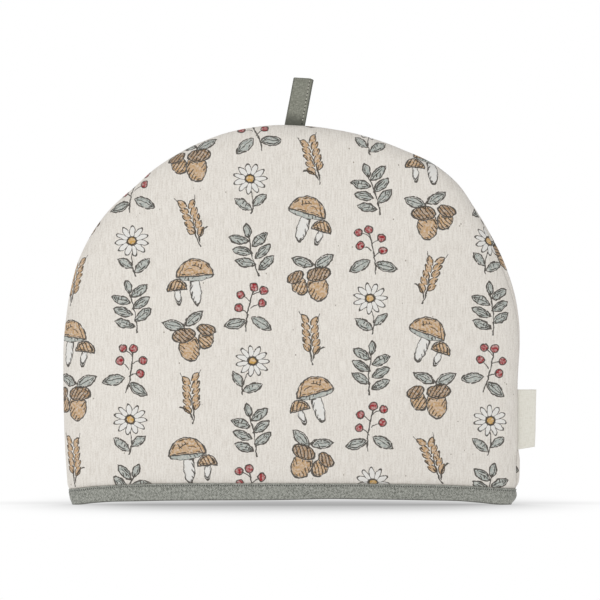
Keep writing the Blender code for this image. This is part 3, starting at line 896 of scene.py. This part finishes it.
FRONT_CREASES = (       # x, height, angle, half length, half width, height of the ridge
    (15.8, 31.5, 59, 15, 2.4, -1.2), (-40.0, 27.7, 74, 9, 2.0, -0.8),
    (-82.0, 27.7, 76, 10, 2.2, -0.8), (81.0, 20.5, 10, 9, 1.7, -0.95),
    (58.0, 25.5, -4, 17, 2.2, -0.7), (36.5, 28.5, 65, 11, 2.3, -0.8),
    (-23.0, 24.5, 61, 8, 1.8, -0.6), (0.0, 287.5, 2, 12, 1.6, -0.5),
    (158.0, 60.0, 84, 18, 3.0, -0.5))
BACK_CREASES = (
    (-62.0, 29.0, 112, 14, 2.4, -0.8), (22.0, 26.0, 78, 10, 2.0, -0.6),
    (74.0, 30.0, 64, 13, 2.3, -0.7), (-12.0, 22.0, 8, 12, 1.9, -0.5),
    (118.0, 27.0, 96, 9, 2.0, -0.5), (-122.0, 24.0, 70, 9, 2.0, -0.5))
FRONT_PRINT = (8.0, -12.0)      # how far the print is shifted on each panel
BACK_PRINT = (0.0, 12.0)

front_mesh, front_outer, front_inner = padded_panel(
    "front_panel", False, FRONT_CREASES, FRONT_PRINT)
back_mesh, back_outer, back_inner = padded_panel("back_panel", True, BACK_CREASES, BACK_PRINT)
cottons = (cotton("printed_cotton", True), cotton("plain_cotton", False))
front_cloth = finished_object("front_cloth", front_mesh, *cottons, slot="printed_cotton")
back_cloth = finished_object("back_cloth", back_mesh, *cottons, slot="printed_cotton")
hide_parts("front_panel")
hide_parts("back_panel")


# --- Hem binding and its stitching ---------------------------------------------------
# A band of grey-green cotton cut on the bias and folded over the lower edge of both
# panels, with its own edges turned under. One row of machine stitches holds it, just
# below its upper edge.

HEM_STATION = 0.72          # between two places where the binding's section is set out
STITCH_STEP = 1.8
STITCH_SHARE = 0.62         # share of a step that shows as thread
STITCH_THICK = 0.42
STITCH_BELOW = 1.05         # the row lies this far under the binding's upper edge
STITCH_REACH = 0.7
STITCH_TUCK = 0.10
CLOSE_TO_PADDING = 0.12
INNER_BEND = 0.9            # rise of the binding's inner face at its lower edge
RIPPLE = (0.16, 17.0)       # height and size of the fullness along the band
SLANT = (0.14, 6.5, 9.0)    # the same for the bias, and how far it slants
WAVE = (0.10, 34.0)
GREY_GREEN = (0.284, 0.290, 0.258)
GREY_GREEN_LIGHT = (0.440, 0.445, 0.402)
GREY_GREEN_DARK = (0.142, 0.146, 0.127)
HOLE_SHADE_COLOUR = (0.045, 0.046, 0.040)
FOLD_SHADE_COLOUR = (0.085, 0.087, 0.076)
THREAD_COLOUR = (0.38, 0.385, 0.350)

OUTER_LEAF = (              # how far up the band, height off that, distance from the padding
    (1.0, 0.05, 0.12), (1.0, 0.50, 0.30), (1.0, 0.62, 0.66), (1.0, 0.45, 1.00), (1.0, 0.0, 1.22),
    (1.0, -0.35, 1.18), (1.0, -0.75, 0.92), (1.0, -1.05, 0.80), (1.0, -1.4, 0.92),
    (1.0, -2.1, 1.22), (0.68, 0.0, 1.42), (0.52, 0.0, 1.50), (0.36, 0.0, 1.42),
    (0.2, 0.0, 1.18), (0.06, 0.0, 0.84))
STITCH_ROW = 7              # the place of that leaf where the stitches sink in
SOLE = ((0.46, 0.62), (0.30, 0.22), (0.12, 0.04), (-0.15, 0.0))    # share of the way out, rise
FOLD_ROWS = (len(OUTER_LEAF), len(OUTER_LEAF) + len(SOLE) + 2)
INNER_FACE = (1.0, 0.75, 0.5, 0.25)
LAST_STRIP = 0.4            # width of the strip that closes the section, which lies inside


def hem_columns(front, back):
    """Rows of points all the way round the hem: along the front, then along the back."""
    left = (front[:1] + back[:1]) / 2
    right = (front[-1:] + back[-1:]) / 2
    return np.concatenate([left, front[1:-1], right, back[-2:0:-1]])


def closed(line):
    """A line whose first place comes again at its end."""
    return np.concatenate([line, line[:1]])


def read_along(places, along, values):
    """Values that are known along a line, read at other places along it."""
    columns = values.reshape(len(values), -1).T
    read = np.stack([np.interp(places, along, column) for column in columns], axis=1)
    return read.reshape(len(places), *values.shape[1:])


def outward(face):
    """Level directions that point out of a closed line of points."""
    along = np.roll(face[:, 1], -2, axis=0) - np.roll(face[:, 1], 2, axis=0)
    return unit(np.column_stack([along[:, 1], -along[:, 0], np.zeros(len(face))]))


def up_the_band(face, share):
    """Points of a face, part of the way up the bound rows."""
    place = share * BOUND_ROWS
    low = min(int(place), BOUND_ROWS - 1)
    return face[:, low] + (face[:, low + 1] - face[:, low]) * (place - low)


def fullness_along(places, size, x=0.0, y=0.0):
    """Smooth random fullness at places along a band."""
    return np.array([noise.noise(Vector((place / size, x, y))) for place in places])


hem_outer = hem_columns(front_outer, back_outer)
hem_inner = hem_columns(front_inner, back_inner)
round_hem = travelled(closed(hem_outer)[:, BOUND_ROWS // 2, :2])
hem_length = round_hem[-1]
hem_count = int(round(hem_length / HEM_STATION))
hem_along = np.arange(hem_count) * hem_length / hem_count
hem_outer = read_along(hem_along, round_hem, closed(hem_outer))
hem_inner = read_along(hem_along, round_hem, closed(hem_inner))
outer_way, inner_way = outward(hem_outer), outward(hem_inner)
stitch_count = int(round(hem_length / STITCH_STEP))
stitch_step = hem_length / stitch_count
hem_ripple = RIPPLE[0] * fullness_along(hem_along, RIPPLE[1], 0.0, 4.0)
hem_wave = WAVE[0] * fullness_along(hem_along, WAVE[1], 8.0, 1.0)
tuck = 0.5 + 0.5 * np.cos(2 * np.pi * hem_along / stitch_step)


def leaf_row(face, way, share, rise, off):
    """One row of points along one leaf of the binding."""
    base = up_the_band(face, share)
    at_top = share == 1.0
    near_stitches = at_top * math.exp(-((rise + STITCH_BELOW) / STITCH_REACH) ** 2)
    height, size, bias = SLANT
    slant = height * fullness_along(hem_along + bias * share + rise, size, 0.0, 2.0)
    full = (hem_ripple + slant) * (1 - near_stitches) - STITCH_TUCK * tuck * near_stitches
    row = base + way * (off + full)[:, None]
    row[:, 2] = base[:, 2] + rise + hem_wave * at_top
    return row


def low_row(face, way, out, rise):
    """One row of points along the underside of the binding."""
    row = face[:, 0] + way * out
    row[:, 2] = hem_outer[:, 0, 2] - BINDING_CLOTH + rise
    return row


to_outside, to_inside = (hem_outer, outer_way), (hem_inner, -inner_way)
section = [leaf_row(*to_outside, *place) for place in OUTER_LEAF]
section += [low_row(*to_outside, BINDING_CLOTH * share, rise) for share, rise in SOLE]
section += [low_row(*to_inside, BINDING_CLOTH * share, rise) for share, rise in SOLE[::-1]]
section += [leaf_row(*to_inside, *place) for place in OUTER_LEAF[::-1]]
off_padding = outer_way * CLOSE_TO_PADDING, -inner_way * CLOSE_TO_PADDING
section += [up_the_band(hem_inner, share) + off_padding[1] for share in INNER_FACE]
section += [low_row(*face, CLOSE_TO_PADDING, INNER_BEND) for face in (to_inside, to_outside)]
section += [up_the_band(hem_outer, share) + off_padding[0] for share in INNER_FACE[::-1]]
section = np.stack(section, axis=1)
hem_around = section.shape[1]
across_band = travelled(section[0])

station = hem_length / hem_count
band_ends = np.append(across_band, across_band[-1] + LAST_STRIP)
band_uv = [corner for near in hem_along for low, high in zip(band_ends, band_ends[1:])
           for corner in ((near, low), (near + station, low), (near + station, high), (near, high))]
binding_mesh = cloth_mesh(
    "binding", section.reshape(-1, 3),
    quads(lambda i, j: i % hem_count * hem_around + j % hem_around, hem_count, hem_around),
    np.array(band_uv))


def melange(name, light, middle, dark, turn):
    """Grey-green cotton of mixed light and dark threads, not yet given its colour."""
    material, shader, place = matt_cotton(name, 0.9, 0.25, 0.15)
    threads = seen_from(place, 0.0, 0.0, turn)
    one_way = streaks(threads, 1.5, 0.42)
    other_way = streaks(threads, 0.42, 1.5)
    mixed = number("ADD", one_way, other_way)
    colour = laid_over(between(mixed, 0.78, 1.0), dark, middle)
    colour = laid_over(between(mixed, 1.0, 1.22), colour, light)
    patch = mottle(place, 0.05)
    colour = laid_over(between(patch, 0.35, 0.75, 0.0, 0.25), colour, light)
    woven(shader, threads, 0.55, 0.55, mixed, 1.2, 0.5, 0.6)
    return material, shader, place, colour


def shaded_needle_holes(run, beside, colour, row_at, step, dark):
    """Painted shade of small needle holes in a row, one at each end of a stitch."""
    hole = place_of(number("PINGPONG", run, step / 2), number("SUBTRACT", beside, row_at))
    hole = arrow("LENGTH", arrow("MULTIPLY", hole, (1.0, 1.15, 0.0)))
    return laid_over(between(hole, 0.42, 0.80, 0.95, 0.0), colour, dark)


binding_cotton, shader, place, colour = melange(
    "grey_green_cotton_bias", GREY_GREEN_LIGHT, GREY_GREEN, GREY_GREEN_DARK, 45.0)
run, up_band = sides_of(place)
row_at = float(across_band[STITCH_ROW])
colour = shaded_needle_holes(run, up_band, colour, row_at, stitch_step, HOLE_SHADE_COLOUR)
# Painted shade along the binding's folded lower edge, where it turns under toward the floor.
fold_out, fold_in = (float(across_band[row]) for row in FOLD_ROWS)
fold = nearest(between(up_band, fold_out - 0.5, fold_out + 0.3, 0.0, 0.8),
               between(up_band, fold_in - 0.3, fold_in + 0.5, 0.8, 0.0))
feed(shader["Base Color"], laid_over(fold, colour, FOLD_SHADE_COLOUR))

binding = finished_object("binding", binding_mesh, binding_cotton, slot="grey_green_cotton")
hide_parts("hem_binding")

STITCH_ARCH = (             # share of its length, height
    (-0.5, -0.30), (-0.36, 0.02), (-0.16, 0.12), (0.16, 0.12), (0.36, 0.02), (0.5, -0.30))


def stitch_row(name, centres, along, up, length, thick, material):
    """Machine stitches, each a short arched thread whose ends go down into the cloth."""
    curve = bpy.data.curves.new(name, "CURVE")
    curve.dimensions = "3D"
    curve.bevel_depth = thick / 2 * MM
    curve.bevel_resolution = 2
    curve.use_fill_caps = True
    for centre, way, rise in zip(centres + (SET_X, 0.0, 0.0), along, up):
        line = curve.splines.new("POLY")
        line.points.add(len(STITCH_ARCH) - 1)
        for point, (share, lift) in zip(line.points, STITCH_ARCH):
            point.co = (*(centre + way * (share * length) + rise * lift) * MM, 1.0)
    curve.materials.append(material)
    row = into_scene(name, curve)
    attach(row, "root")
    return row


def sewing_thread(name, colour):
    """Twisted thread, darker in its grooves."""
    material = bpy.data.materials.new(name)
    material.use_nodes = True
    shader = material.node_tree.nodes["Principled BSDF"].inputs
    shader["Roughness"].default_value = 0.6
    shader["Sheen Weight"].default_value = 0.2
    spot = node("TexCoord", tree=material.node_tree).outputs["Object"]
    twist = mottle(in_millimetres(spot), 2.4)
    dark = tuple(part * 0.7 for part in colour)
    feed(shader["Base Color"], laid_over(between(twist, 0.20, 0.50), dark, colour))
    return material


middles = (np.arange(stitch_count) + 0.5) * stitch_step
hem_ends = np.append(hem_along, hem_length)
row_line = closed(section[:, STITCH_ROW])
before, at_stitch, after = (
    read_along(middles + off, hem_ends, row_line) for off in (-0.5, 0.0, 0.5))
stitch_up = read_along(middles, hem_ends, closed(outer_way))
hem_stitches = stitch_row(
    "hem_stitches", at_stitch, unit(after - before), stitch_up, stitch_step * STITCH_SHARE,
    STITCH_THICK, sewing_thread("hem_thread", THREAD_COLOUR))


# --- Hanging loop --------------------------------------------------------------------
# A strip of the binding's cotton, folded lengthwise with its edges inside and stitched
# along one side. It is folded double, and its two ends are caught in the top seam.

LOOP_WIDTH = 15.6
LOOP_TAPER = 0.045          # share of its width that it loses from the root to the fold
LOOP_TAPE = 1.2
LOOP_HEIGHT = 38.8
LOOP_SHEAR = 0.128          # how much the right edge stands above the left one at the fold
LOOP_CORNER = (5.0, 0.42)   # from here the fold drops to the right corner, and how steeply
LOOP_ROOT = 4.0
LOOP_CLOSED = 2.2
LOOP_LEAN = 10.4
LOOP_X = 2.4
LOOP_ROUND = 4.8
TEAR_PEAK = 0.77            # the widest value of sin(t) sin(t / 2), the teardrop of its side view
LOOP_STEPS = 110
LOOP_ACROSS = 26
LOOP_SHIFT = 0.5            # the back leg stands this far to the right of the front one
LOOP_EDGE = (0.9, 0.45)     # how wide and how deep its edges are rounded
LOOP_RIPPLE = 0.10
LOOP_WOBBLE = 0.44
LOOP_PINCH = 0.18           # depth of the gathers where it goes into the seam
LOOP_STITCH_IN = 2.6        # the row lies this far inside the right edge
LOOP_STITCH_STEP = 2.75
LOOP_STITCH_SHARE = 0.66
LOOP_STITCH_THICK = 0.55
LOOP_STITCH_SINK = 0.10
LOOP_GROOVE = (0.14, 0.55)  # how deep and how wide the stitches pull the tape in
SEAM_SKIN = 0.15
LOOP_GREENS = (0.305, 0.307, 0.259), (0.224, 0.228, 0.188), (0.162, 0.165, 0.134)
LOOP_SHADE_COLOUR = (0.085, 0.088, 0.072)
LOOP_HOLE_SHADE = (0.030, 0.030, 0.024)
LOOP_THREAD = (0.53, 0.52, 0.45)

loop_turns = 2 * np.pi * np.arange(LOOP_STEPS + 1) / LOOP_STEPS
reach = LOOP_HEIGHT - LOOP_TAPE - LOOP_CLOSED
open_by = (LOOP_ROUND - LOOP_TAPE) * np.sin(loop_turns) * np.sin(loop_turns / 2) / TEAR_PEAK
tear = np.column_stack([-open_by - SEAM_SKIN * np.cos(loop_turns / 2),
                        LOOP_CLOSED + reach * (1 - np.cos(loop_turns)) / 2])
legs = np.array([(SEAM_SKIN, -LOOP_ROOT / 2), (SEAM_SKIN, -LOOP_ROOT)])
loop_path = np.concatenate([legs[::-1] * (-1, 1), tear, legs])
loop_along = travelled(loop_path)
loop_run = unit(np.gradient(loop_path, axis=0))
loop_out = np.column_stack([-loop_run[:, 1], loop_run[:, 0]])

outer_skin, inner_skin, loop_uv = [], [], []
for (y, z), (out_y, out_z), s in zip(loop_path, loop_out, loop_along):
    up = max(z / LOOP_HEIGHT, 0.0)
    shift = 0.0 if y < 0 else LOOP_SHIFT * min(z / LOOP_HEIGHT, 1.0)
    for side in np.linspace(-0.5, 0.5, LOOP_ACROSS + 1):
        x = side * LOOP_WIDTH
        loop_uv.append((x, s))
        from_edge, from_row = LOOP_WIDTH / 2 - abs(x), LOOP_WIDTH / 2 - LOOP_STITCH_IN - x
        round_off = max(0.0, 1 - from_edge / LOOP_EDGE[0]) ** 2 * LOOP_EDGE[1]
        stitched = math.exp(-(from_row / LOOP_GROOVE[1]) ** 2) * LOOP_GROOVE[0]
        ripple = LOOP_RIPPLE * noise.noise(Vector((x / 5.0, s / 9.0, 3.0)))
        wobble = LOOP_WOBBLE * noise.noise(Vector((s / 16.0, 1.0 if side > 0 else 5.0, 6.0)))
        pinch = LOOP_PINCH * math.exp(-((z - 1.0) / 3.5) ** 2) * math.sin(x * 1.1 + 0.6)
        x = x * (1 - LOOP_TAPER * up) + wobble * side
        raised = LOOP_SHEAR * x * up - LOOP_CORNER[1] * max(x - LOOP_CORNER[0], 0.0) * up ** 6
        for skin, off in ((outer_skin, ripple + pinch - stitched - round_off),
                          (inner_skin, round_off + stitched * 0.6 - LOOP_TAPE)):
            skin.append((x + shift, y + out_y * off, z + out_z * off + raised))


def tape_mesh(name, outer, inner, flat, rows, across):
    """A closed strip between two faces of points laid out in rows."""
    def spot(j, i):
        return i * (across + 1) + j

    edge = [spot(j, 0) for j in range(across)] + [spot(across, i) for i in range(rows - 1)]
    edge += [spot(j, rows - 1) for j in range(across, 0, -1)]
    edge += [spot(0, i) for i in range(rows - 1, 0, -1)]
    return two_faced(name, outer, inner, quads(spot, across, rows - 1), edge, flat)


def lean(points, foot=(0.0, 0.0, 0.0)):
    """Turn points or directions about the loop's root, and set them on a foot."""
    turn = math.radians(LOOP_LEAN)
    return np.array(points) @ ((math.cos(turn), 0.0, -math.sin(turn)), (0.0, 1.0, 0.0),
                               (math.sin(turn), 0.0, math.cos(turn))) + foot


loop_foot = (LOOP_X, 0.0, dome_points(np.array([90.0]))[0, 1])
loop_mesh = tape_mesh("loop", lean(outer_skin, loop_foot), lean(inner_skin, loop_foot), loop_uv,
                      len(loop_path), LOOP_ACROSS)
loop_cotton, shader, place, colour = melange("grey_green_cotton_straight", *LOOP_GREENS, 0.0)
loop_x, loop_y = sides_of(place)
# Painted shade: the loop is darker along its rounded edges, along the tight fold at its top, and
# toward its roots in the seam.
from_fold = number("ABSOLUTE", number("SUBTRACT", loop_y, float(loop_along[-1]) / 2))
mottled_from_fold = number("MULTIPLY_ADD", mottle(place, 0.35), 8.0, from_fold)
loop_shade = any_of(
    between(number("ABSOLUTE", loop_x), LOOP_WIDTH / 2 - 1.3, LOOP_WIDTH / 2 - 0.3, 0.0, 0.75),
    between(from_fold, 0.2, 1.3, 0.6, 0.0),
    between(mottled_from_fold, 32.0, 40.0, 0.0, 0.8))
colour = shaded_needle_holes(loop_y, loop_x, laid_over(loop_shade, colour, LOOP_SHADE_COLOUR),
                      LOOP_WIDTH / 2 - LOOP_STITCH_IN, LOOP_STITCH_STEP, LOOP_HOLE_SHADE)
feed(shader["Base Color"], colour)
loop = finished_object("loop", loop_mesh, loop_cotton, slot="grey_green_cotton")
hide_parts("hanging_loop")

seam_end = LOOP_ROOT + 1.0
first_stitch = math.ceil(seam_end / LOOP_STITCH_STEP)
last_stitch = int((loop_along[-1] - seam_end) / LOOP_STITCH_STEP)
stitch_at = (np.arange(first_stitch, last_stitch) + 0.5) * LOOP_STITCH_STEP
(y, z), (run_y, run_z), (out_y, out_z) = (
    read_along(stitch_at, loop_along, known).T for known in (loop_path, loop_run, loop_out))
up = np.maximum(z / LOOP_HEIGHT, 0.0)
x = (LOOP_WIDTH / 2 - LOOP_STITCH_IN) * (1 - LOOP_TAPER * up)
shift = np.where(y < 0, 0.0, LOOP_SHIFT * np.minimum(z / LOOP_HEIGHT, 1.0))
level = np.zeros_like(x)
loop_stitches = stitch_row(
    "loop_stitches",
    lean(np.column_stack([x + shift, y - out_y * LOOP_STITCH_SINK,
                          z - out_z * LOOP_STITCH_SINK + LOOP_SHEAR * x * up]), loop_foot),
    lean(np.column_stack([level, run_y, run_z])), lean(np.column_stack([level, out_y, out_z])),
    LOOP_STITCH_STEP * LOOP_STITCH_SHARE, LOOP_STITCH_THICK,
    sewing_thread("loop_thread", LOOP_THREAD))


# --- Side label ----------------------------------------------------------------------
# A blank cream cotton tape folded double. Both its ends are caught in the right side
# seam, and its fold stands out beside the cosy.

LABEL_TAPE = 0.46
LABEL_ROOT = 3.2
LABEL_TOP = 88.5
LABEL_BOTTOM = 41.6
LABEL_OUT = 14.6
LABEL_TAPER = 1.1
LABEL_RISE = 2.7
LABEL_CURL = 1.4
LABEL_WOBBLE = 0.12
LABEL_RIPPLE = 0.25
LABEL_FOLD = 0.035          # depth of the fold, as a share of the label's width
FOLD_ROOM = 0.4             # what the fold adds to that width
LABEL_STEP = 1.1
LABEL_UP = 40
LABEL_HALF = 14
LABEL_TURNS = 9
LABEL_THREADS = (0.34, 0.42)
CREAM = (0.786, 0.768, 0.696)
CREAM_DARK = (0.680, 0.657, 0.572)

label_outer, label_inner, label_uv = [], [], []
label_path = [(share, -1.0) for share in np.linspace(0.0, 1.0, LABEL_HALF, endpoint=False)]
label_path += [(1.0 + LABEL_FOLD * math.sin(turn), -math.cos(turn))
               for turn in np.linspace(0.0, math.pi, LABEL_TURNS)]
label_path += [(share, 1.0) for share in np.linspace(1.0, 0.0, LABEL_HALF + 1)[1:]]
for step, (share, face) in enumerate(label_path):
    for low in np.arange(LABEL_UP + 1) / LABEL_UP:
        z = LABEL_TOP + (LABEL_BOTTOM + LABEL_RISE * share - LABEL_TOP) * low
        seam_x = float(right_side(z) - EDGE_PUFF - back_shows(z))
        x = seam_x - LABEL_ROOT + (LABEL_ROOT + LABEL_OUT - FOLD_ROOM - LABEL_TAPER * low) * share
        x += LABEL_WOBBLE * noise.noise(Vector((z / 9.0, 2.0, 0.0))) * share
        middle = LABEL_CURL * min(share, 1.0) ** 2 - float(seam_forward(z))
        middle += LABEL_RIPPLE * share * noise.noise(Vector((z / 14.0, share * 1.5, 9.0)))
        inner_half = 0.04 + 0.05 * math.sin(math.pi * min(share, 1.0))
        outer_half = inner_half + LABEL_TAPE * (1.0 + 0.04 * math.sin(math.pi * low))
        label_inner.append((x - 0.3 * max(share - 0.98, 0), middle + face * inner_half, z))
        over_fold = LABEL_TAPE * max(share - 1.0, 0.0) / LABEL_FOLD
        label_outer.append((x + over_fold, middle + face * outer_half, z))
        label_uv.append((step * LABEL_STEP, z))
label_mesh = tape_mesh("label", label_outer, label_inner, label_uv, len(label_path), LABEL_UP)

tape_cotton, shader, place = matt_cotton("cream_tape", 0.85, 0.3, 0.1)
ribs = streaks(place, 0.25, 2.6, 2.0)
threads = streaks(place, 2.6, 0.25, 2.0)
mixed = number("ADD", ribs, threads)
feed(shader["Base Color"], laid_over(between(mixed, 0.72, 1.1), CREAM_DARK, CREAM))
woven(shader, place, *LABEL_THREADS, mixed, 1.0, 0.6, 0.5, 0.00008)

label = finished_object("label", label_mesh, tape_cotton, slot="cream_tape")
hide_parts("side_label")
